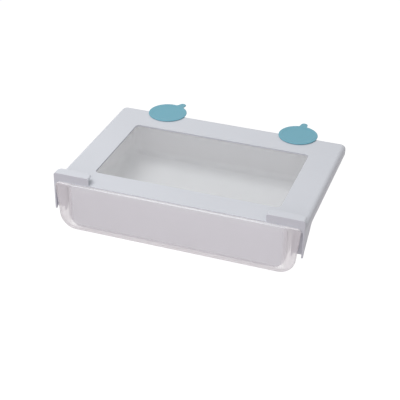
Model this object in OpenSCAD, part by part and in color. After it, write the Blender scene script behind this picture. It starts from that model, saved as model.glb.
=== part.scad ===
// Drawer that hangs under a glass refrigerator shelf.
// A white frame hooks over the shelf's front edge and is held at the back by two
// suction cups. A clear drawer slides out of it towards the front, on two runners.
// X runs to the right, Y to the back, Z up. The origin is the middle of the shelf's
// front lower edge: Y = 0 is where that edge meets the hooks, Z = 0 is the frame's top.

/* [Frame] */
// Overall width of the frame, over its skirts
frame_w = 332; // [300:1:370]
// Depth of the frame, from its front face to its rear face
frame_d = 231; // [205:1:265]
// Thickness of the top plate
plate_t = 2.6; // [2.2:0.1:3.2]
// Height of the skirt that runs round the sides and the back
skirt_h = 13; // [11:0.5:22]
// Thickness of the skirt
skirt_t = 2.2; // [1.8:0.1:2.6]
// Radius of the shoulder where the plate turns down into the skirt
shoulder_r = 6; // [3.5:0.1:6.5]
// Radius of the two rear corners, seen from above
corner_r = 8; // [7:0.5:14]

/* [Window] */
// Border between the frame's side and the window
window_side = 41; // [34:1:52]
// Border between the frame's front face and the window
window_front = 36; // [30:1:48]
// Border between the window and the frame's rear face
window_rear = 49.5; // [42:0.5:60]
// Radius of the window's corners
window_r = 6; // [3:0.5:12]

/* [Hooks] */
// Width of each hook
hook_w = 48.6; // [36:0.2:64]
// Thickness of the hook's upright wall
hook_t = 2.4; // [2:0.1:3.2]
// Clear height between the plate and the hook's lip, for the shelf
slot_h = 8; // [5:0.1:10]
// Thickness of the lip
lip_t = 2.3; // [1.8:0.1:3]
// Reach of the lip over the shelf, behind the upright wall
lip_reach = 13; // [9:0.5:20]
// Radius of the lip's rear corners
lip_r = 7; // [3:0.5:8]

/* [Front legs] */
// Width of each front leg
leg_w = 15.5; // [12:0.1:16]
// Height of the legs below the frame's top
leg_h = 43; // [38:0.5:48]
// Thickness of the leg's inner wall and of its web
leg_t = 2; // [1.6:0.1:2.6]
// Distance of the web behind the leg's front edges
leg_setback = 4; // [2.5:0.5:6]
// Depth of the flat foot at the bottom of a leg
foot_d = 1.5; // [1:0.1:3]
// Depth at which the leg's steep rear edge turns into its long slope
knee_d = 7.5; // [6:0.5:10]
// Height of that turn above the foot
knee_h = 6; // [4:0.5:8]
// Depth at which the slope reaches the skirt's lower edge
leg_run = 38; // [26:1:48]

/* [Runners] */
// Wall thickness of a runner
runner_t = 1.8; // [1.5:0.1:2.2]
// Width of the runner's outer flange, which is fixed to the plate
runner_flange_w = 6.4; // [6:0.1:7.5]
// Radius of the plastic stakes that hold the runners
stake_r = 1.6; // [1.2:0.1:1.8]
// Radius of the formed heads of the stakes
stake_head_r = 2.8; // [2.4:0.1:3]
// Height of those heads
stake_head_h = 1.2; // [0.8:0.1:1.6]
// Stakes on each runner
stake_count = 4; // [2:1:6]
// Distance of the first and last stake from the runner's ends
stake_inset = 14; // [8:1:24]
// Length of the block at a runner's front that stops the drawer
stop_len = 6; // [4:0.5:10]

/* [Drawer tray] */
// Height of the tray
tray_h = 59.4; // [48:0.2:80]
// Thickness of its walls
tray_wall = 1.8; // [1.4:0.1:2.4]
// Thickness of its floor
tray_floor = 2; // [1.6:0.1:2.6]
// Radius of the long edges between the floor and the sides
tray_bottom_r = 18; // [10:0.5:24]
// Radius of the edge between the floor and the rear wall
tray_rear_r = 12; // [6:0.5:18]
// Radius of the upright rear corners
tray_corner_r = 12; // [6:0.5:18]
// Width of the flange along each side
flange_w = 4.5; // [3.5:0.1:5.5]
// Width of the flange along the back
rear_flange_w = 4; // [2.5:0.1:5]
// Thickness of the flange
flange_t = 2.2; // [1.8:0.1:2.6]
// Width that the stop ears add to the rear of the side flanges
ear_w = 1.7; // [1.3:0.1:2]
// Distance between the tray's rear wall and the frame's rear face
tray_rear_gap = 17; // [15:0.5:24]
// Travel of the drawer
travel = 160; // [120:1:170]

/* [Drawer front] */
// Thickness of the front panel
front_t = 2.2; // [1.8:0.1:2.8]
// Depth of the rim round the panel, from the panel's face
rim_d = 4; // [3.6:0.1:6]
// Thickness of the rim
rim_t = 1.8; // [1.4:0.1:2.2]
// Height of the plate's top above the panel's top edge
front_drop = 1; // [0.4:0.1:1.2]
// Width by which the panel's lower part stands out beyond each side of the tray
front_side = 13.1; // [10:0.1:15]
// Width by which the panel's top stands out further, on each side
front_flare = 4.2; // [0:0.1:5.5]
// Height by which the panel reaches below the tray's floor
front_below = 4.8; // [2:0.1:8]
// Radius of the panel's top corners
front_top_r = 5; // [2.5:0.5:10]
// Radius of the panel's bottom corners
front_bottom_r = 22; // [12:0.5:28]
// Thickness of the rib that holds the tray's front end
rib_t = 1.4; // [1:0.1:2]
// Depth of that rib behind the panel
rib_d = 1.5; // [1:0.1:1.6]

/* [Suction cups] */
// Diameter of a cup's disc
cup_d = 54.6; // [44:0.2:60]
// Distance of a cup's centre from the frame's side
cup_inset = 69; // [60:1:90]
// Distance of a cup's centre in front of the frame's rear face
cup_setback = 1.5; // [0:0.5:3]
// Thickness of the disc
cup_t = 1.4; // [1.2:0.1:2]
// Width of the flat sealing ring
seal_w = 5; // [3:0.5:8]
// Depth of the hollow inside the sealing ring
dish_d = 0.4; // [0.2:0.1:0.6]
// Diameter of the cup's neck
neck_d = 8; // [6:0.2:10]
// Diameter of the head below the lug
head_d = 13; // [11:0.2:15]
// Height of the head
head_h = 4; // [3:0.2:6]
// Radius of the lug that carries the cup
lug_r = 12; // [10:0.5:15]
// Width of the pull tab where it leaves the disc
tab_root_w = 13; // [9:0.5:18]
// Width of the pull tab at its round end
tab_end_w = 8; // [6:0.2:9]
// Reach of the pull tab beyond the disc
tab_reach = 9.5; // [6:0.5:14]
// Turn of the left tab from straight back, seen from above
left_tab_turn = -22; // [-180:1:180]
// Turn of the right tab from straight back, seen from above
right_tab_turn = -1; // [-180:1:180]

/* [Clearances] */
// Gap between faces that slide past each other
slide_gap = 0.3; // [0.2:0.05:0.5]
// Gap between the drawer's flange and the plate above it
top_gap = 0.5; // [0.3:0.05:0.8]
// Gap between the closed front panel and the frame
close_gap = 0.25; // [0.2:0.05:0.5]
// Gap between the cup's soft faces and the lug
soft_gap = 0.3; // [0.3:0.05:0.6]
// Radial clearance of the cup's neck in the lug
neck_gap = 0.1; // [0.05:0.01:0.2]
// Radial clearance of a stake in the runner
stake_gap = 0.1; // [0.05:0.01:0.2]

/* [Hidden] */
$fn = 64;

// Overlap of shapes that are joined, and reach of cutting shapes past a face
bite = 0.5;

// Frame
half_w = frame_w / 2;
front_y = -hook_t;
rear_y = front_y + frame_d;
lip_z = slot_h + lip_t;

// Drawer flange and the runners round it
flange_z = -plate_t - top_gap;
ledge_z = flange_z - flange_t - slide_gap;
runner_bottom_z = ledge_z - runner_t;
runner_out = half_w - shoulder_r - slide_gap;
runner_web = runner_out - runner_flange_w;
channel_x = runner_web - runner_t;
ear_x = channel_x - slide_gap;
flange_x = ear_x - ear_w;
tray_x = flange_x - flange_w;
ledge_x = tray_x + 2 * slide_gap;
runner_front_y = front_y + leg_setback + leg_t + slide_gap;
runner_rear_y = rear_y - skirt_t - corner_r;
stop_y = runner_front_y + stop_len;
stop_h = -plate_t - ledge_z + bite;

// Drawer
panel_back_y = front_y - close_gap - rim_d + front_t;
panel_y = panel_back_y - front_t;
tray_rear_y = rear_y - tray_rear_gap;
tray_z = flange_z - tray_h;
ear_y = stop_y + travel + slide_gap;
panel_x = tray_x + front_side;
panel_top_x = panel_x + front_flare;
panel_top_z = -front_drop;
panel_bottom_z = tray_z - front_below;

// Cups
cup_x = half_w - cup_inset;
cup_y = rear_y - cup_setback;
cup_r = cup_d / 2;
seal_z = soft_gap + cup_t;
head_z = -plate_t - soft_gap;

// Rectangle from (x0, y0) to (x1, y1) whose lower corners have radius r_low and whose
// upper corners have radius r_high
module rounded_plate(x0, x1, y0, y1, r_low, r_high) {
    lo = max(r_low, 0.01);
    hi = max(r_high, 0.01);
    difference() {
        translate([x0, y0]) square([x1 - x0, y1 - y0]);
        for (side = [0, 1]) {
            mirrored_about((x0 + x1) / 2, side) {
                corner_cut(x0, y0, lo, 1);
                corner_cut(x0, y1, hi, -1);
            }
        }
    }
}

// The waste outside a corner's arc; dir is 1 for a lower corner and -1 for an upper one
module corner_cut(x, y, r, dir) {
    difference() {
        translate([x - bite, dir > 0 ? y - bite : y - r]) square([r + bite, r + bite]);
        translate([x + r, y + dir * r]) circle(r);
    }
}

// Mirrors its children about the line x = mid if side is 1
module mirrored_about(mid, side) {
    translate([side * 2 * mid, 0]) mirror([side, 0]) children();
}

// Turns a drawing of X and Z into a solid that runs back from y0 to y1
module along_y(y0, y1) {
    translate([0, y1, 0]) rotate([90, 0, 0]) linear_extrude(y1 - y0) children();
}

// Turns a drawing of Y and Z into a solid that runs right from x0 to x1
module along_x(x0, x1) {
    translate([x0, 0, 0]) rotate([90, 0, 90]) linear_extrude(x1 - x0) children();
}

// Puts its children on the right, and their mirror image on the left
module both_sides() {
    children();
    mirror([1, 0, 0]) children();
}

// ---------------------------------------------------------------- top frame

// Closed block of the frame's outer form, from y0 back and from bottom_z up, drawn in by
// inset at the sides, the back and the top
module frame_block(y0, bottom_z, inset) {
    edge_r = shoulder_r - inset;
    intersection() {
        along_y(y0, rear_y)
            rounded_plate(-half_w + inset, half_w - inset, bottom_z, -inset, 0, edge_r);
        along_x(-half_w, half_w)
            frame_side_outline(y0, bottom_z, inset, edge_r);
        translate([0, 0, bottom_z])
            linear_extrude(-bottom_z)
                rounded_plate(-half_w + inset, half_w - inset, y0, rear_y - inset,
                              0, corner_r - inset);
    }
}

// Side view of that block: square at the front, with the shoulder's arc at the back
module frame_side_outline(y0, bottom_z, inset, edge_r) {
    difference() {
        translate([y0, bottom_z]) square([rear_y - inset - y0, -bottom_z - inset]);
        corner_cut_right(rear_y - inset, -inset, edge_r);
    }
}

// The waste outside the arc of an upper corner on the right of a drawing
module corner_cut_right(x, y, r) {
    translate([x, 0]) mirror([1, 0]) corner_cut(0, y, r, -1);
}

module frame_shell() {
    difference() {
        frame_block(front_y, -skirt_h, 0);
        difference() {
            frame_block(front_y - bite, -skirt_h - bite, skirt_t);
            translate([-half_w, front_y - bite, -plate_t])
                cube([frame_w, frame_d + bite, plate_t]);
        }
    }
}

module window() {
    translate([0, 0, -plate_t - bite])
        linear_extrude(plate_t + 2 * bite)
            rounded_plate(-half_w + window_side, half_w - window_side,
                          front_y + window_front, rear_y - window_rear, window_r, window_r);
}

// Upright wall in front of the shelf's edge, and the lip that lies on the shelf
module hook() {
    translate([half_w - hook_w, front_y, -plate_t])
        cube([hook_w, hook_t, plate_t + lip_z]);
    translate([0, 0, slot_h])
        linear_extrude(lip_t)
            rounded_plate(half_w - hook_w, half_w, front_y, lip_reach, 0, lip_r);
}

// Side view of a leg: a narrow foot, a steep edge up to the knee, a long slope to the skirt
module leg_outline(top_z) {
    polygon([
        [front_y, top_z],
        [front_y, -leg_h],
        [front_y + foot_d, -leg_h],
        [front_y + knee_d, -leg_h + knee_h],
        [front_y + leg_run, -skirt_h],
        [front_y + leg_run, top_z]
    ]);
}

// Outer wall, inner wall below the runner, and the web that closes the channel
module leg() {
    along_x(half_w - skirt_t, half_w) {
        leg_outline(-shoulder_r);
        translate([front_y, -shoulder_r - bite]) square([hook_t, shoulder_r + bite]);
    }
    along_x(half_w - leg_w, half_w - leg_w + leg_t) leg_outline(runner_bottom_z - slide_gap);
    intersection() {
        along_x(half_w - leg_w, half_w - bite) leg_outline(-plate_t + bite);
        translate([half_w - leg_w, front_y + leg_setback, -leg_h])
            cube([leg_w, leg_t, leg_h]);
    }
}

// Stakes whose formed heads hold a runner's outer flange against the plate
module stakes() {
    for (i = [0 : stake_count - 1]) {
        translate([stake_x(), stake_y(i), -plate_t - runner_t]) {
            cylinder(r = stake_r, h = runner_t + bite);
            translate([0, 0, -stake_head_h]) cylinder(r = stake_head_r, h = stake_head_h);
        }
    }
}

function stake_x() = runner_out - runner_flange_w / 2;
function stake_y(i) =
    runner_front_y + stake_inset
    + i * (runner_rear_y - runner_front_y - 2 * stake_inset) / (stake_count - 1);

module top_frame() {
    color([0.86, 0.87, 0.9]) {
        difference() {
            union() {
                frame_shell();
                both_sides() {
                    hook();
                    leg();
                    stakes();
                    translate([cup_x, cup_y, -plate_t]) cylinder(r = lug_r, h = plate_t);
                }
            }
            window();
            both_sides() {
                translate([cup_x, cup_y, -plate_t - bite])
                    cylinder(r = neck_d / 2 + neck_gap, h = plate_t + 2 * bite);
                // Room for the cup's head in the rear skirt
                translate([cup_x, cup_y, head_z - head_h - 2 * soft_gap])
                    cylinder(r = head_d / 2 + 2 * soft_gap, h = head_h + 3 * soft_gap);
            }
        }
    }
}

// ------------------------------------------------------------------ runners

// Front view of the right runner: flange against the plate, web, ledge for the drawer
module runner_outline() {
    translate([channel_x, -plate_t - runner_t])
        square([runner_out - channel_x, runner_t]);
    translate([channel_x, runner_bottom_z])
        square([runner_t, -plate_t - runner_bottom_z]);
    translate([ledge_x, runner_bottom_z])
        square([channel_x + bite - ledge_x, runner_t]);
}

module runner() {
    difference() {
        union() {
            along_y(runner_front_y, runner_rear_y) runner_outline();
            // Block that the drawer's ears meet when it is fully out
            translate([flange_x + slide_gap, runner_front_y, ledge_z - bite])
                cube([channel_x + bite - flange_x - slide_gap, stop_len, stop_h]);
        }
        for (i = [0 : stake_count - 1]) {
            translate([stake_x(), stake_y(i), -plate_t - runner_t - bite])
                cylinder(r = stake_r + stake_gap, h = runner_t + 2 * bite);
        }
    }
}

module right_runner() {
    color([0.8, 0.81, 0.84]) runner();
}

module left_runner() {
    color([0.8, 0.81, 0.84]) mirror([1, 0, 0]) runner();
}

// -------------------------------------------------------------- drawer tray

// Front view of the tray, drawn in by inset at the sides and raised by lift at the floor
module tray_outline(inset, lift, top_z) {
    rounded_plate(-tray_x + inset, tray_x - inset, tray_z + lift, top_z,
                  tray_bottom_r - inset, 0);
}

// Closed block of the tray's form: rounded along the floor's sides, along the floor's
// rear edge and at the upright rear corners
module tray_block(inset, lift, top_z) {
    y0 = panel_back_y + inset;
    y1 = tray_rear_y - inset;
    intersection() {
        along_y(y0, y1) tray_outline(inset, lift, top_z);
        along_x(-tray_x, tray_x)
            difference() {
                translate([y0, tray_z + lift]) square([y1 - y0, top_z - tray_z - lift]);
                translate([y1, 0])
                    mirror([1, 0]) corner_cut(0, tray_z + lift, tray_rear_r - inset, 1);
            }
        translate([0, 0, tray_z - bite])
            linear_extrude(tray_h + 3 * bite)
                rounded_plate(-tray_x + inset, tray_x - inset, y0, y1, 0, tray_corner_r - inset);
    }
}

// Flange along the sides and the back, with a wider ear at the rear of each side
module tray_flange() {
    translate([0, 0, flange_z - flange_t])
        linear_extrude(flange_t) {
            rounded_plate(-flange_x, flange_x, panel_back_y, tray_rear_y + rear_flange_w,
                          0, tray_corner_r);
            translate([-ear_x, ear_y])
                square([2 * ear_x, tray_rear_y - tray_corner_r - ear_y]);
        }
}

module drawer_tray() {
    color([0.84, 0.83, 0.87, 0.6]) {
        difference() {
            union() {
                tray_block(0, 0, flange_z);
                tray_flange();
            }
            tray_block(tray_wall, tray_floor, flange_z + bite);
        }
    }
}

// ------------------------------------------------------------- drawer front

// Outline of the panel, drawn in by inset all round: its sides run outwards to the top
module panel_outline(inset) {
    hull() {
        for (side = [-1, 1]) {
            translate([side * (panel_x - front_bottom_r), panel_bottom_z + front_bottom_r])
                circle(front_bottom_r - inset);
            translate([side * (panel_top_x - front_top_r), panel_top_z - front_top_r])
                circle(front_top_r - inset);
        }
    }
}

// Rib that wraps the sides and the floor of the tray's front end
module holding_rib() {
    rib_top_z = flange_z - flange_t - slide_gap;
    along_y(panel_back_y - bite, panel_back_y + rib_d)
        difference() {
            tray_outline(-slide_gap - rib_t, -slide_gap - rib_t, rib_top_z);
            tray_outline(-slide_gap, -slide_gap, rib_top_z + bite);
        }
}

module drawer_front() {
    color([0.86, 0.84, 0.88, 0.6]) {
        along_y(panel_y, panel_back_y) panel_outline(0);
        along_y(panel_back_y - bite, panel_y + rim_d)
            difference() {
                panel_outline(0);
                panel_outline(rim_t);
            }
        holding_rib();
    }
}

// ------------------------------------------------------------- suction cups

// Half section of a cup, from its axis outwards
module cup_section() {
    dish_r = cup_r - seal_w;
    head_r = head_d / 2;
    difference() {
        union() {
            translate([0, soft_gap]) square([cup_r, cup_t]);
            translate([0, head_z - bite]) square([neck_d / 2, soft_gap + bite - head_z]);
            translate([0, head_z - head_h / 2]) square([head_r, head_h / 2]);
            polygon([
                [0, head_z - head_h / 2],
                [head_r, head_z - head_h / 2],
                [neck_d / 2, head_z - head_h],
                [0, head_z - head_h]
            ]);
        }
        translate([0, seal_z - dish_d]) square([dish_r, dish_d + bite]);
    }
}

// The tab that is pulled to let air under the cup, turned from straight back
module pull_tab(turn) {
    end_r = tab_end_w / 2;
    end_y = cup_r + tab_reach - end_r;
    rotate([0, 0, turn])
        translate([0, 0, soft_gap])
            difference() {
                linear_extrude(cup_t) {
                    polygon([
                        [-tab_root_w / 2, cup_r - seal_w],
                        [tab_root_w / 2, cup_r - seal_w],
                        [end_r, end_y],
                        [-end_r, end_y]
                    ]);
                    translate([0, end_y]) circle(end_r);
                }
                translate([0, 0, -bite]) cylinder(r = cup_r - bite, h = cup_t + 2 * bite);
            }
}

module suction_cup(turn) {
    color([0.45, 0.68, 0.75]) {
        rotate_extrude() cup_section();
        pull_tab(turn);
    }
}

module left_suction_cup() {
    translate([-cup_x, cup_y, 0]) suction_cup(left_tab_turn);
}

module right_suction_cup() {
    translate([cup_x, cup_y, 0]) suction_cup(right_tab_turn);
}

top_frame();
left_runner();
right_runner();
drawer_tray();
drawer_front();
left_suction_cup();
right_suction_cup();
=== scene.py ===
import math

import bmesh
import bpy
from mathutils import Matrix, Vector


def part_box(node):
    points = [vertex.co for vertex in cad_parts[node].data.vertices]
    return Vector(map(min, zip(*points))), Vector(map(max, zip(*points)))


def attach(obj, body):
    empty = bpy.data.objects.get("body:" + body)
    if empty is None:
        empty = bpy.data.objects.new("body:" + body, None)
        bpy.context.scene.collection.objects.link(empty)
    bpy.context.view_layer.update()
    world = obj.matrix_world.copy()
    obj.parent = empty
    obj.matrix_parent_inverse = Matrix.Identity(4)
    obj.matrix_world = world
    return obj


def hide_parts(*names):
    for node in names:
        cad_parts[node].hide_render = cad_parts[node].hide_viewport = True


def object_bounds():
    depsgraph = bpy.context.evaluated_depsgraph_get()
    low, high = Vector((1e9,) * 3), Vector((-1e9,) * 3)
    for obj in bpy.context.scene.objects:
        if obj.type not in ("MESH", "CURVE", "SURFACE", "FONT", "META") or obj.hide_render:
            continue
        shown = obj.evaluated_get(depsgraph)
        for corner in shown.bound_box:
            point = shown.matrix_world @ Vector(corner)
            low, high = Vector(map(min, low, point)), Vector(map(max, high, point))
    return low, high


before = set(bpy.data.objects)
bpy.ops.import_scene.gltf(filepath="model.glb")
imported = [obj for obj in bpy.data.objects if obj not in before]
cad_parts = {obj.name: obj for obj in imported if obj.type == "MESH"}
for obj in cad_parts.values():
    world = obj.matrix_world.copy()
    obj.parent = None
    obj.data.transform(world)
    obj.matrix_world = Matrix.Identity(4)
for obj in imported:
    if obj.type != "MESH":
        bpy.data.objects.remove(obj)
solid_low, solid_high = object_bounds()


# ---- Camera ----------------------------------------------------------------
# It stands to the right of the drawer's front and above it, and looks down at it.
# Its place is in metres from the middle of the shelf's front edge.

camera_place = Vector((0.3840, -1.0310, 0.6712))
camera_turn = math.radians(18.82)
camera_dip = math.radians(31.27)
camera_roll = math.radians(1.03)
sensor_width, lens = 36, 93.43
half_pixel = 0.5 / 400
nearest = 0.05

camera_data = bpy.data.cameras.new("camera")
camera_data.sensor_width = sensor_width
camera_data.lens = lens
camera_data.shift_x = -half_pixel
camera_data.shift_y = half_pixel
camera_data.clip_start = nearest
camera = bpy.data.objects.new("camera", camera_data)
bpy.context.scene.collection.objects.link(camera)
camera.matrix_world = (
    Matrix.Translation(camera_place)
    @ Matrix.Rotation(camera_turn, 4, "Z")
    @ Matrix.Rotation(math.radians(90) - camera_dip, 4, "X")
    @ Matrix.Rotation(camera_roll, 4, "Z")
)
bpy.context.scene.camera = camera
bpy.context.scene.view_settings.view_transform = "Standard"


# ---- Light and floor ---------------------------------------------------------
# A white room: an even sky, a large soft lamp above on the left and a weaker one before
# the drawer. The pale floor lies well below the part, which hangs, and keeps its shadow.

mm = 0.001
floor_drop = 220 * mm
floor_z = solid_low.z - floor_drop
floor_width = 8
sky_level = 0.40
floor_glow = 0.92
white = (1, 1, 1, 1)
bounce_colour = (0.62, 0.55, 0.59, 1)
shade_colour = (0.2, 0.2, 0.2, 1)
lamp_aim = Vector((0, 0.1, -0.02))
lamp_width = 1.10
lamps = [
    # name, place, power and colour
    ("lamp_above", (-0.45, -0.10, 1.30), 11.0, (1.0, 1.0, 1.0)),
    ("lamp_front", (0.20, -1.45, 0.45), 5.2, (1.0, 0.94, 0.97)),
]
for lamp_name, lamp_place, lamp_power, lamp_colour in lamps:
    lamp_data = bpy.data.lights.new(lamp_name, "AREA")
    lamp_data.shape = "DISK"
    lamp_data.size = lamp_width
    lamp_data.energy = lamp_power
    lamp_data.color = lamp_colour
    lamp = bpy.data.objects.new(lamp_name, lamp_data)
    bpy.context.scene.collection.objects.link(lamp)
    lamp.location = lamp_place
    toward = lamp_aim - Vector(lamp_place)
    lamp.rotation_euler = toward.to_track_quat("-Z", "Y").to_euler()


def number(tree, kind, a, b):
    """The sum, product or the like of two values, each a number or a node's output."""
    node = tree.nodes.new("ShaderNodeMath")
    node.operation = kind
    for value, socket in ((a, node.inputs[0]), (b, node.inputs[1])):
        if isinstance(value, (int, float)):
            socket.default_value = value
        else:
            tree.links.new(value, socket)
    return node.outputs[0]


def shader(tree, kind, **values):
    """A shader with its inputs set."""
    node = tree.nodes.new(kind)
    for name, value in values.items():
        node.inputs[name].default_value = value
    return node.outputs[0]


def light_and_show(tree, lighting, shown, output):
    """Ends a tree: one shader lights the part, and the other is what the camera, gloss
    and clear plastic show."""
    path = tree.nodes.new("ShaderNodeLightPath")
    seen = path.outputs["Is Camera Ray"]
    for ray in ("Is Glossy Ray", "Is Transmission Ray"):
        seen = number(tree, "MAXIMUM", seen, path.outputs[ray])
    mix = tree.nodes.new("ShaderNodeMixShader")
    tree.links.new(seen, mix.inputs["Fac"])
    tree.links.new(lighting, mix.inputs[1])
    tree.links.new(shown, mix.inputs[2])
    tree.links.new(mix.outputs[0], tree.nodes.new(output).inputs["Surface"])


world = bpy.data.worlds.new("white_room")
bpy.context.scene.world = world
world.use_nodes = True
tree = world.node_tree
tree.nodes.clear()
light_and_show(
    tree,
    shader(tree, "ShaderNodeBackground", Color=white, Strength=sky_level),
    shader(tree, "ShaderNodeBackground", Color=white, Strength=1),
    "ShaderNodeOutputWorld",
)

bpy.ops.object.select_all(action="DESELECT")
bpy.ops.mesh.primitive_plane_add(size=floor_width, location=(0, 0, floor_z))
floor = bpy.context.active_object
floor.name = "floor"
floor_paint = bpy.data.materials.new("floor_paint")
floor_paint.use_nodes = True
tree = floor_paint.node_tree
tree.nodes.clear()
pale = tree.nodes.new("ShaderNodeAddShader")
shade = shader(tree, "ShaderNodeBsdfDiffuse", Color=shade_colour)
glow = shader(tree, "ShaderNodeEmission", Color=white, Strength=floor_glow)
tree.links.new(shade, pale.inputs[0])
tree.links.new(glow, pale.inputs[1])
light_and_show(
    tree,
    shader(tree, "ShaderNodeBsdfDiffuse", Color=bounce_colour),
    pale.outputs[0],
    "ShaderNodeOutputMaterial",
)
floor.data.materials.append(floor_paint)


# ---- Top frame: shell ----------------------------------------------------------
# The white plate with its window and the rounded skirt round its sides and its back.
# With the hooks, legs and lugs it is one injection moulding in satin polypropylene.

frame_low, frame_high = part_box("top_frame")
half_w = frame_high.x
front_y = frame_low.y
plate_depth = 231 * mm
rear_y = front_y + plate_depth
plate_t = 2.6 * mm
skirt_t = 2.2 * mm
skirt_z = -13 * mm
shoulder_r = 6 * mm
corner_r = 8 * mm
window_side, window_front, window_rear = 41 * mm, 36 * mm, 49.5 * mm  # from the edges
window_r = 6 * mm
past = mm  # how far a cutting form reaches past the faces that it cuts


def pick(piece):
    """Makes a piece the active one, and the only one that is selected."""
    bpy.ops.object.select_all(action="DESELECT")
    bpy.context.view_layer.objects.active = piece
    piece.select_set(True)


def work_on(piece, kind="EDGE"):
    """Opens one piece's mesh for editing, with nothing selected."""
    pick(piece)
    bpy.ops.object.mode_set(mode="EDIT")
    bpy.ops.mesh.select_mode(type=kind)
    bpy.ops.mesh.select_all(action="DESELECT")


def select_where(piece, parts, wanted):
    """Selects the verts, edges or faces of the open mesh that pass the test."""
    mesh = bmesh.from_edit_mesh(piece.data)
    for part in getattr(mesh, parts):
        part.select = wanted(part)
    mesh.select_flush_mode()
    bmesh.update_edit_mesh(piece.data)


def near(a, b):
    """Tells whether two places on an axis are the same, within 0.02 mm."""
    return abs(a - b) < 0.02 * mm


def settle(piece):
    """Rounds a form's points to a tenth of a micron, so that flush faces join truly."""
    for v in piece.data.vertices:
        v.co = [round(c, 7) for c in v.co]


def block(name, low, high):
    """A box between its lowest and its highest corner, with its place in its mesh."""
    low, high = Vector(low), Vector(high)
    bpy.ops.object.select_all(action="DESELECT")
    bpy.ops.mesh.primitive_cube_add(size=1, location=(low + high) / 2, scale=high - low)
    bpy.ops.object.transform_apply(location=True, rotation=True, scale=True)
    piece = bpy.context.active_object
    piece.name = name
    settle(piece)
    return piece


def round_edges(piece, wanted, radius, segments=8):
    """Rounds the edges whose two ends pass the test."""
    work_on(piece)
    select_where(piece, "edges", lambda edge: wanted(*(v.co for v in edge.verts)))
    bpy.ops.mesh.bevel(offset=radius, segments=segments, affect="EDGES")
    bpy.ops.object.mode_set(mode="OBJECT")


def upright_at(x_places, y_places):
    """The test for upright edges at these places."""
    def wanted(a, b):
        return (
            near(a.x, b.x) and near(a.y, b.y)
            and any(near(a.x, x) for x in x_places)
            and any(near(a.y, y) for y in y_places)
        )
    return wanted


def apply(piece, modifier):
    """Makes a modifier's work part of the piece's mesh."""
    pick(piece)
    bpy.ops.object.modifier_apply(modifier=modifier.name)


def combine(piece, other, how):
    """Joins another solid to a piece (UNION), or cuts it away (DIFFERENCE)."""
    boolean = piece.modifiers.new(how.lower(), "BOOLEAN")
    boolean.operation = how
    boolean.solver = "EXACT"
    boolean.object = other
    apply(piece, boolean)
    bpy.data.objects.remove(other)


def cover(name, low, high, corner, edge, edge_z):
    """A box whose upright rear corners are round, and whose face at edge_z has a round
    edge at its sides and its back."""
    piece = block(name, low, high)
    round_edges(piece, upright_at((low[0], high[0]), (high[1],)), corner)
    round_edges(
        piece,
        lambda a, b: near(a.z, edge_z) and near(b.z, edge_z)
        and not (near(a.y, low[1]) and near(b.y, low[1])),
        edge,
    )
    settle(piece)
    return piece


frame_piece = cover(
    "frame_moulding", (-half_w, front_y, skirt_z), (half_w, rear_y, 0),
    corner_r, shoulder_r, 0,
)
hollow = cover(
    "hollow",
    (-half_w + skirt_t, front_y - 5 * past, skirt_z - 5 * past),
    (half_w - skirt_t, rear_y - skirt_t, -plate_t),
    corner_r - skirt_t, shoulder_r - plate_t, -plate_t,
)
combine(frame_piece, hollow, "DIFFERENCE")

window_low = Vector((-half_w + window_side, front_y + window_front, -plate_t - past))
window_high = Vector((half_w - window_side, rear_y - window_rear, past))
window = block("window", window_low, window_high)
round_edges(
    window,
    upright_at((window_low.x, window_high.x), (window_low.y, window_high.y)),
    window_r,
)
combine(frame_piece, window, "DIFFERENCE")


# ---- Top frame: hooks and legs ---------------------------------------------------
# Each hook is an upright wall before the shelf's edge with a lip over the shelf. Under
# it hangs a leg of two gusseted walls with a web between them, in the same moulding.

lip_z = frame_high.z
hook_x = half_w - 48.6 * mm
slot_z = 8 * mm
lip_y = 13 * mm
lip_r = 7 * mm
lip_edge_r = 3 * mm
post_x = half_w - 6.2 * mm
post_z = -7 * mm
leg_z = frame_low.z
leg_x = half_w - 15.5 * mm
leg_t = 2 * mm
inner_wall_z = -7.7 * mm
foot_y = front_y + 1.5 * mm
knee_y = front_y + 7.5 * mm
knee_z = leg_z + 6 * mm
gusset_y = front_y + 38 * mm
web_y = front_y + 4 * mm
web_low_z = leg_z + web_y - foot_y
web_high_z = -2 * mm
web_end_x = half_w - 0.5 * mm


def draw(name, points):
    """A piece that starts as points joined by edges, left open for editing."""
    bpy.ops.object.select_all(action="DESELECT")
    bpy.ops.mesh.primitive_plane_add(size=mm)
    piece = bpy.context.active_object
    piece.name = name
    work_on(piece, "VERT")
    bpy.ops.mesh.select_all(action="SELECT")
    bpy.ops.mesh.delete(type="VERT")
    mesh = bmesh.from_edit_mesh(piece.data)
    drawn = [mesh.verts.new(point) for point in points]
    for a, b in zip(drawn, drawn[1:]):
        mesh.edges.new((a, b))
    bmesh.update_edit_mesh(piece.data)
    bpy.ops.mesh.select_all(action="SELECT")
    return piece


def pull(name, outline, way):
    """A solid: an outline of points, filled and pulled by way."""
    piece = draw(name, outline)
    bpy.ops.mesh.edge_face_add()
    bpy.ops.mesh.extrude_region_move(TRANSFORM_OT_translate={"value": way})
    bpy.ops.mesh.select_all(action="SELECT")
    bpy.ops.mesh.normals_make_consistent(inside=False)
    bpy.ops.object.mode_set(mode="OBJECT")
    settle(piece)
    return piece


def mirror_over_x(piece):
    """Adds a piece's mirror image on the other side of X = 0."""
    mirror = piece.modifiers.new("mirror", "MIRROR")
    mirror.use_mirror_merge = False
    apply(piece, mirror)


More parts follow.
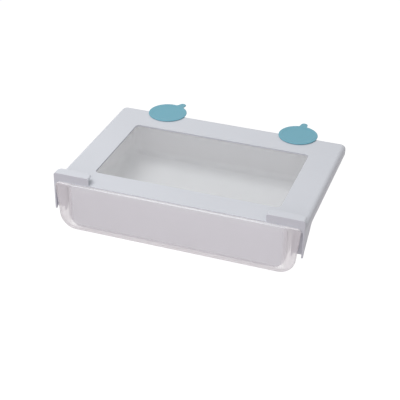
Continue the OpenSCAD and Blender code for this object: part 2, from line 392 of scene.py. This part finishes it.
hook = cover(
    "hook", (hook_x, front_y, post_z), (half_w, lip_y, lip_z), lip_r, lip_edge_r, lip_z
)
slot = block(
    "slot", (hook_x - past, 0, post_z - past), (half_w + past, lip_y + past, slot_z)
)
combine(hook, slot, "DIFFERENCE")
channel = block(
    "channel", (hook_x - past, front_y - past, post_z - past), (post_x, past, -plate_t)
)
combine(hook, channel, "DIFFERENCE")
for name, x, thickness, top_z in (
    ("outer_wall", half_w - skirt_t, skirt_t, -shoulder_r),
    ("inner_wall", leg_x, leg_t, inner_wall_z),
):
    wall = pull(
        name,
        [(x, front_y, top_z), (x, front_y, leg_z), (x, foot_y, leg_z),
         (x, knee_y, knee_z), (x, gusset_y, skirt_z), (x, gusset_y, top_z)],
        (thickness, 0, 0),
    )
    combine(hook, wall, "UNION")
web = pull(
    "web",
    [(leg_x, web_y, web_high_z), (leg_x, web_y, web_low_z),
     (leg_x, web_y + leg_t, web_low_z + leg_t), (leg_x, web_y + leg_t, web_high_z)],
    (web_end_x - leg_x, 0, 0),
)
combine(hook, web, "UNION")
mirror_over_x(hook)
combine(frame_piece, hook, "UNION")


# ---- Top frame: lugs and stakes, and its finish ------------------------------------
# A round lug with a hole carries each suction cup. Four stakes a side, whose heads are
# formed by heat, hold each runner. White plastic with a fine grain from the mould.

cup_x, cup_y = half_w - 69 * mm, rear_y - 1.5 * mm
stake_x = 156.5 * mm
first_stake_y, stake_step = front_y + 20.3 * mm, 62.1667 * mm
stake_places = [first_stake_y + i * stake_step for i in range(4)]
stake_r, stake_root_z = 1.6 * mm, -2.1 * mm
stake_in_head = 0.3 * mm
head_r, head_t, head_z = 2.8 * mm, 1.2 * mm, -4.4 * mm
frame_edge_r = 0.45 * mm
frame_colour = (0.665, 0.685, 0.735)


def rod(name, place, radius, low_z, high_z, sides):
    """An upright cylinder at a place in X and Y."""
    bpy.ops.object.select_all(action="DESELECT")
    bpy.ops.mesh.primitive_cylinder_add(
        radius=radius, depth=high_z - low_z, vertices=sides,
        location=(*place, (low_z + high_z) / 2),
    )
    bpy.ops.object.transform_apply(location=True, rotation=True, scale=True)
    piece = bpy.context.active_object
    piece.name = name
    return piece


for name, radius, low_z, high_z, how in (
    # the room for the cup's head, the lug and its hole
    ("head_room", 7.1 * mm, -7.5 * mm, -plate_t, "DIFFERENCE"),
    ("lug", 12 * mm, -2.5 * mm, 0, "UNION"),
    ("neck_hole", 4.1 * mm, -plate_t - past, past, "DIFFERENCE"),
):
    round_part = rod(name, (cup_x, cup_y), radius, low_z, high_z, 64)
    mirror_over_x(round_part)
    combine(frame_piece, round_part, how)
for stake_y in stake_places:
    place = (stake_x, stake_y)
    stake = rod("stake", place, stake_r, head_z - stake_in_head, stake_root_z, 24)
    head = rod("head", place, head_r, head_z - head_t, head_z, 32)
    combine(stake, head, "UNION")
    mirror_over_x(stake)
    combine(frame_piece, stake, "UNION")


def soften(piece, radius, segments=3, sharp=32):
    """Gives every sharp outer edge the small radius that a mould leaves. The mesh is cut
    along its middle first, so that a U-shaped face isn't filled across its opening."""
    one_place = 0.0005 * mm
    flat = math.radians(0.2)
    middle = sum((Vector(corner) for corner in piece.bound_box), Vector()) / 8
    work_on(piece)
    bpy.ops.mesh.select_all(action="SELECT")
    bpy.ops.mesh.remove_doubles(threshold=one_place)
    bpy.ops.mesh.dissolve_limited(angle_limit=flat)
    for across in ((1, 0, 0), (0, 1, 0)):
        bpy.ops.mesh.select_all(action="SELECT")
        bpy.ops.mesh.bisect(plane_co=middle, plane_no=across)
    bpy.ops.mesh.select_all(action="SELECT")
    bpy.ops.mesh.normals_make_consistent(inside=False)
    select_where(
        piece, "edges",
        lambda edge: edge.is_convex and edge.calc_face_angle(0) > math.radians(sharp),
    )
    bpy.ops.transform.edge_bevelweight(value=1)
    bpy.ops.object.mode_set(mode="OBJECT")
    bevel = piece.modifiers.new("edges", "BEVEL")
    bevel.limit_method = "WEIGHT"
    bevel.width = radius
    bevel.segments = segments
    bevel.use_clamp_overlap = False
    apply(piece, bevel)
    smooth(piece, sharp)


def smooth(piece, sharp=32):
    """Smooth shading across the curves, weighted by area so that flat faces stay flat."""
    pick(piece)
    bpy.ops.object.shade_smooth_by_angle(angle=math.radians(sharp))
    weighted = piece.modifiers.new("normals", "WEIGHTED_NORMAL")
    weighted.keep_sharp = True
    apply(piece, weighted)


def plastic_surface():
    """The shared surface of all the plastics: a faint mottle in colour and gloss, and a
    fine grain in relief."""
    mottle_scale, grain_scale = 16, 1600
    grain_depth = 0.06 * mm
    tree = bpy.data.node_groups.new("plastic_surface", "ShaderNodeTree")
    for socket, kind, flow in (
        ("Colour", "NodeSocketColor", "INPUT"),
        ("Mottle", "NodeSocketFloat", "INPUT"),
        ("Roughness", "NodeSocketFloat", "INPUT"),
        ("Grain", "NodeSocketFloat", "INPUT"),
        ("Colour", "NodeSocketColor", "OUTPUT"),
        ("Roughness", "NodeSocketFloat", "OUTPUT"),
        ("Normal", "NodeSocketVector", "OUTPUT"),
    ):
        tree.interface.new_socket(socket, in_out=flow, socket_type=kind)
    nodes, links = tree.nodes, tree.links
    given = nodes.new("NodeGroupInput")
    result = nodes.new("NodeGroupOutput")
    place = nodes.new("ShaderNodeTexCoord")

    def noise(scale, detail):
        """A cloudy pattern that stays in its place on the piece."""
        node = nodes.new("ShaderNodeTexNoise")
        node.inputs["Scale"].default_value = scale
        node.inputs["Detail"].default_value = detail
        links.new(place.outputs["Object"], node.inputs["Vector"])
        return node.outputs["Fac"]

    swing = number(tree, "SUBTRACT", noise(mottle_scale, 4), 0.5)
    swing = number(tree, "MULTIPLY", swing, given.outputs["Mottle"])
    tint = nodes.new("ShaderNodeHueSaturation")
    links.new(number(tree, "ADD", swing, 1), tint.inputs["Value"])
    links.new(given.outputs["Colour"], tint.inputs["Color"])
    links.new(tint.outputs["Color"], result.inputs["Colour"])
    gloss = number(tree, "ADD", given.outputs["Roughness"], swing)
    links.new(gloss, result.inputs["Roughness"])
    relief = nodes.new("ShaderNodeBump")
    relief.inputs["Distance"].default_value = grain_depth
    links.new(given.outputs["Grain"], relief.inputs["Strength"])
    links.new(noise(grain_scale, 2), relief.inputs["Height"])
    links.new(relief.outputs["Normal"], result.inputs["Normal"])
    return tree


plastic_group = plastic_surface()


def plastic(name, colour, roughness, mottle=0.06, grain=0.2):
    """A moulded plastic with that surface. A clear one gets its haze afterwards."""
    material = bpy.data.materials.new(name)
    material.use_nodes = True
    nodes, links = material.node_tree.nodes, material.node_tree.links
    surface = nodes.new("ShaderNodeGroup")
    surface.name = "surface"
    surface.node_tree = plastic_group
    surface.inputs["Colour"].default_value = (*colour, 1)
    surface.inputs["Mottle"].default_value = mottle
    surface.inputs["Roughness"].default_value = roughness
    surface.inputs["Grain"].default_value = grain
    principled = nodes["Principled BSDF"]
    links.new(surface.outputs["Colour"], principled.inputs["Base Color"])
    links.new(surface.outputs["Roughness"], principled.inputs["Roughness"])
    links.new(surface.outputs["Normal"], principled.inputs["Normal"])
    return material


def dress(piece, material):
    """Gives a piece one material all over."""
    piece.data.materials.clear()
    piece.data.materials.append(material)


soften(frame_piece, frame_edge_r)
dress(frame_piece, plastic("white_plastic", frame_colour, roughness=0.42))
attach(frame_piece, "frame")
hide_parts("top_frame")


# ---- Runners -----------------------------------------------------------------
# A rail under each side of the plate: a flange that the stakes hold, a web, a ledge
# that carries the drawer, and a stop at its front. White plastic, polished by use.

runner_front_y, runner_rear_y = 3.9 * mm, 218.4 * mm
rail_outline = [
    # across and up, in millimetres: the ledge, the web and the flange
    (153.3, -7.4), (145.6, -7.4), (145.6, -5.6), (151.5, -5.6), (151.5, -2.6),
    (159.7, -2.6), (159.7, -4.4), (153.3, -4.4),
]
stop_low = (149.8 * mm, runner_front_y, -6 * mm)
stop_high = (152.5 * mm, runner_front_y + 6 * mm, -plate_t)
hole_r, hole_low_z, hole_high_z = 1.7 * mm, -5 * mm, -2 * mm
runner_edge_r = 0.3 * mm
runner_colour = (0.66, 0.68, 0.725)

runner_white = plastic("runner_plastic", runner_colour, roughness=0.36)
for side in ("left", "right"):
    runner = pull(
        side + "_rail",
        [(x * mm, runner_front_y, z * mm) for x, z in rail_outline],
        (0, runner_rear_y - runner_front_y, 0),
    )
    combine(runner, block("stop", stop_low, stop_high), "UNION")
    for stake_y in stake_places:
        hole = rod("hole", (stake_x, stake_y), hole_r, hole_low_z, hole_high_z, 24)
        combine(runner, hole, "DIFFERENCE")
    if side == "left":
        work_on(runner)
        bpy.ops.mesh.select_all(action="SELECT")
        bpy.ops.transform.mirror(constraint_axis=(True, False, False))
        bpy.ops.mesh.normals_make_consistent(inside=False)
        bpy.ops.object.mode_set(mode="OBJECT")
    soften(runner, runner_edge_r, segments=2)
    dress(runner, runner_white)
    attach(runner, "frame")
    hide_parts(side + "_runner")


# ---- Drawer tray -------------------------------------------------------------
# The clear tray: thin walls, rounded lower edges, and a flange round its top whose rear
# ears meet the stops. One moulding in clear styrene, whose haze is made with alpha,
# because a refractive plastic would keep the light from what stands behind it. Its front
# wall's colour is painted lighter: painted light for the light that reaches it through
# the clear panel.

tray_low, tray_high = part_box("drawer_tray")
tray_x = 145 * mm
tray_rear_y = rear_y - 17 * mm
tray_lower_r, tray_rear_r = 18 * mm, 12 * mm
wall_t, bottom_t = 1.8 * mm, 2 * mm
flange_x = 149.5 * mm
flange_y = tray_rear_y + 4 * mm
flange_r = 12 * mm
flange_z = tray_high.z - 2.2 * mm
ear_x = tray_high.x
ear_front_y, ear_rear_y = 170.2 * mm, tray_rear_y - 12 * mm
clear_edge_r = 0.35 * mm
tray_colour = (0.74, 0.76, 0.78)
front_wall_alpha, tray_alpha = 0.9, 0.5
# The front wall's colour is lifted this many times: painted light for the light that
# reaches it through the clear panel. The haze and this painted light fade out between the
# two depths below.
front_wall_painted_light = 1.3
haze_and_painted_light_from_y, haze_and_painted_light_to_y = tray_low.y + 1.9 * mm, tray_low.y + 4 * mm


def tub(name, inset, lift, top_z):
    """The tray's closed form, drawn in by inset and with its floor raised by lift."""
    low = Vector((-tray_x + inset, tray_low.y + inset, tray_low.z + lift))
    high = Vector((tray_x - inset, tray_rear_y - inset, top_z))
    piece = block(name, low, high)
    round_edges(
        piece,
        lambda a, b: near(a.z, low.z) and near(b.z, low.z)
        and near(a.x, b.x) and near(abs(a.x), high.x),
        tray_lower_r - inset, segments=12,
    )
    round_edges(
        piece,
        lambda a, b: near(a.y, high.y) and near(b.y, high.y)
        and not (near(a.z, top_z) and near(b.z, top_z)),
        tray_rear_r - inset, segments=10,
    )
    return piece


def ramp(tree, source, low, high, low_value, high_value):
    """A value that goes from low_value to high_value while the source goes up."""
    node = tree.nodes.new("ShaderNodeMapRange")
    for name, value in (
        ("From Min", low), ("From Max", high),
        ("To Min", low_value), ("To Max", high_value),
    ):
        node.inputs[name].default_value = value
    tree.links.new(source, node.inputs["Value"])
    return node.outputs[0]


def object_axes(tree):
    """X, Y and Z in the piece's own mesh."""
    place = tree.nodes.new("ShaderNodeTexCoord")
    axes = tree.nodes.new("ShaderNodeSeparateXYZ")
    tree.links.new(place.outputs["Object"], axes.inputs[0])
    return axes.outputs


tray_piece = tub("tray", 0, 0, tray_high.z)
flange = block(
    "flange", (-flange_x, tray_low.y, flange_z), (flange_x, flange_y, tray_high.z)
)
round_edges(flange, upright_at((-flange_x, flange_x), (flange_y,)), flange_r)
ears = block(
    "ears", (-ear_x, ear_front_y, flange_z), (ear_x, ear_rear_y, tray_high.z)
)
combine(flange, ears, "UNION")
combine(tray_piece, flange, "UNION")
tray_room = tub("tray_room", wall_t, bottom_t, tray_high.z + past)
combine(tray_piece, tray_room, "DIFFERENCE")
soften(tray_piece, clear_edge_r)

tray_clear = plastic(
    "clear_tray_plastic", tray_colour, roughness=0.35, mottle=0.04, grain=0.1
)
tree = tray_clear.node_tree
depth = object_axes(tree)["Y"]
tint = tree.nodes.new("ShaderNodeHueSaturation")
tint.inputs["Color"].default_value = (*tray_colour, 1)
tree.links.new(tint.outputs["Color"], tree.nodes["surface"].inputs["Colour"])
tree.links.new(
    ramp(tree, depth, haze_and_painted_light_from_y, haze_and_painted_light_to_y, front_wall_alpha, tray_alpha),
    tree.nodes["Principled BSDF"].inputs["Alpha"],
)
# Painted light: the front wall's colour is made lighter than the rest of the tray's.
tree.links.new(
    ramp(tree, depth, haze_and_painted_light_from_y, haze_and_painted_light_to_y, front_wall_painted_light, 1),
    tint.inputs["Value"],
)
dress(tray_piece, tray_clear)
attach(tray_piece, "drawer")
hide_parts("drawer_tray")


# ---- Drawer front ------------------------------------------------------------
# The clear panel, bonded to the tray's front wall: a rim turned back all round, and a
# rib behind that goes round the tray's end. The same clear styrene as the tray, with
# more haze along its edge and where it is seen at a slant.

front_low, front_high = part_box("drawer_front")
bond_t = 0.05 * mm
panel_back_y = tray_low.y - bond_t
rim_y = front_low.y + 4 * mm
rim_t = 1.8 * mm
panel_top_x, panel_bottom_x = 162.85 * mm, 155.92 * mm
panel_top_r, panel_bottom_r = 5.6 * mm, 19.8 * mm
panel_edge_r = 1.2 * mm
rib_gap, rib_outside = 0.3 * mm, 1.7 * mm
rib_sunk, rib_height = 0.5 * mm, 1.5 * mm
rib_top_z = flange_z - rib_gap
panel_colour = (0.97, 0.95, 0.97)
middle_haze, margin_haze, slant_haze = 0.02, 0.34, 0.7
margin_in_x, margin_out_x = tray_x - 6 * mm, tray_x + mm
margin_high_z, margin_low_z = tray_low.z + 4 * mm, tray_low.z - mm


def rib_form(name, inset, low_y, high_y, top_z):
    """The tray's outline seen from the front, drawn in by inset, between two depths."""
    low_z = tray_low.z + inset
    piece = block(
        name, (-tray_x + inset, low_y, low_z), (tray_x - inset, high_y, top_z)
    )
    round_edges(
        piece,
        lambda a, b: near(a.z, low_z) and near(b.z, low_z) and near(a.x, b.x),
        tray_lower_r - inset, segments=12,
    )
    return piece


front_piece = block(
    "panel", (-panel_top_x, front_low.y, front_low.z), (panel_top_x, rim_y, front_high.z)
)
work_on(front_piece, "VERT")
select_where(front_piece, "verts", lambda v: near(v.co.z, front_low.z))
bpy.ops.transform.resize(
    value=(panel_bottom_x / panel_top_x, 1, 1), center_override=(0, 0, 0)
)
bpy.ops.object.mode_set(mode="OBJECT")
for corner_z, radius in ((front_high.z, panel_top_r), (front_low.z, panel_bottom_r)):
    round_edges(
        front_piece,
        lambda a, b: near(a.z, corner_z) and near(b.z, corner_z) and near(a.x, b.x),
        radius, segments=12,
    )
work_on(front_piece, "FACE")
select_where(front_piece, "faces", lambda face: face.normal.y > 0.99)
bpy.ops.mesh.inset(thickness=rim_t, depth=0)
bpy.ops.mesh.extrude_region_move(
    TRANSFORM_OT_translate={"value": (0, panel_back_y - rim_y, 0)}
)
bpy.ops.object.mode_set(mode="OBJECT")
rib = rib_form(
    "rib", -rib_outside, panel_back_y - rib_sunk, panel_back_y + rib_height, rib_top_z
)
rib_room = rib_form(
    "rib_room", -rib_gap, panel_back_y - past, panel_back_y + 3 * past, rib_top_z + past
)
combine(rib, rib_room, "DIFFERENCE")
combine(front_piece, rib, "UNION")
round_edges(
    front_piece,
    lambda a, b: near(a.y, front_low.y) and near(b.y, front_low.y),
    panel_edge_r, segments=4,
)
soften(front_piece, clear_edge_r)

front_clear = plastic(
    "clear_front_plastic", panel_colour, roughness=0.12, mottle=0.04, grain=0.05
)
tree = front_clear.node_tree
axes = object_axes(tree)
right = ramp(tree, axes["X"], margin_in_x, margin_out_x, 0, 1)
left = ramp(tree, axes["X"], -margin_out_x, -margin_in_x, 1, 0)
below = ramp(tree, axes["Z"], margin_low_z, margin_high_z, 1, 0)
sides = number(tree, "MAXIMUM", left, right)
margin = number(tree, "MAXIMUM", sides, below)
slant = tree.nodes.new("ShaderNodeLayerWeight")
slant.inputs["Blend"].default_value = 0.5
haze = number(
    tree, "ADD",
    ramp(tree, margin, 0, 1, middle_haze, margin_haze),
    ramp(tree, slant.outputs["Facing"], 0, 1, 0, slant_haze),
)
tree.links.new(haze, tree.nodes["Principled BSDF"].inputs["Alpha"])
dress(front_piece, front_clear)
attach(front_piece, "drawer")
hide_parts("drawer_front")


# ---- Suction cups ------------------------------------------------------------
# Soft teal cups, each one moulding: a disc with a shallow hollow inside its sealing
# ring, a pull tab, and a neck and head that are pushed through the frame's lug.

cup_r = 27.3 * mm
seal_z = 1.7 * mm
disc_z = 0.3 * mm
cup_half_section = [
    # distance from the axis and height, in millimetres, from the hollow to the head
    (0, 1.3), (20.6, 1.3), (21.6, 1.38), (22.3, 1.62), (22.9, 1.7), (26.5, 1.7),
    (26.95, 1.6), (27.22, 1.32), (27.3, 1.0), (27.22, 0.68), (26.95, 0.4), (26.5, 0.3),
    (4, 0.3), (4, -2.9), (6.1, -2.9), (6.4, -3.02), (6.5, -3.3), (6.5, -4.7),
    (6.35, -5.1), (4.3, -6.75), (3.9, -6.9), (0, -6.9),
]
tab_half_w = 6 * mm
tab_root, tab_end = cup_r - 3 * mm, 36.75 * mm
tab_taper = 0.68
tab_corner_r, tab_edge_r = 3.6 * mm, 0.45 * mm
tab_turns = {"left": math.radians(-22), "right": math.radians(-1)}
cup_colour = (0.15, 0.40, 0.50)


def suction_cup(name, centre, turn):
    """A cup on its axis, with its tab turned from straight back."""
    x, y = centre
    piece = draw(name, [(x + r * mm, y, z * mm) for r, z in cup_half_section])
    bpy.ops.mesh.spin(
        steps=96, angle=math.radians(360), center=(x, y, 0), axis=(0, 0, 1)
    )
    bpy.ops.mesh.select_all(action="SELECT")
    bpy.ops.mesh.remove_doubles(threshold=0.005 * mm)
    bpy.ops.mesh.normals_make_consistent(inside=False)
    bpy.ops.object.mode_set(mode="OBJECT")

    end_y = y + tab_end
    tab = block(
        "tab", (x - tab_half_w, y + tab_root, disc_z), (x + tab_half_w, end_y, seal_z)
    )
    work_on(tab, "VERT")
    select_where(tab, "verts", lambda v: near(v.co.y, end_y))
    bpy.ops.transform.resize(
        value=(tab_taper, 1, 1), center_override=(x, end_y, seal_z)
    )
    bpy.ops.object.mode_set(mode="OBJECT")
    round_edges(
        tab,
        lambda a, b: near(a.y, end_y) and near(b.y, end_y) and near(a.x, b.x),
        tab_corner_r,
    )
    soften(tab, tab_edge_r)
    work_on(tab)
    bpy.ops.mesh.select_all(action="SELECT")
    bpy.ops.transform.rotate(
        value=-turn, orient_axis="Z", center_override=(x, y, 0)
    )
    bpy.ops.object.mode_set(mode="OBJECT")
    combine(piece, tab, "UNION")
    smooth(piece)
    return piece


cup_teal = plastic("teal_plastic", cup_colour, roughness=0.45, mottle=0.08, grain=0.1)
for side, x in (("left", -cup_x), ("right", cup_x)):
    cup = suction_cup(side + "_cup_moulding", (x, cup_y), tab_turns[side])
    dress(cup, cup_teal)
    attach(cup, side + "_cup")
    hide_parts(side + "_suction_cup")
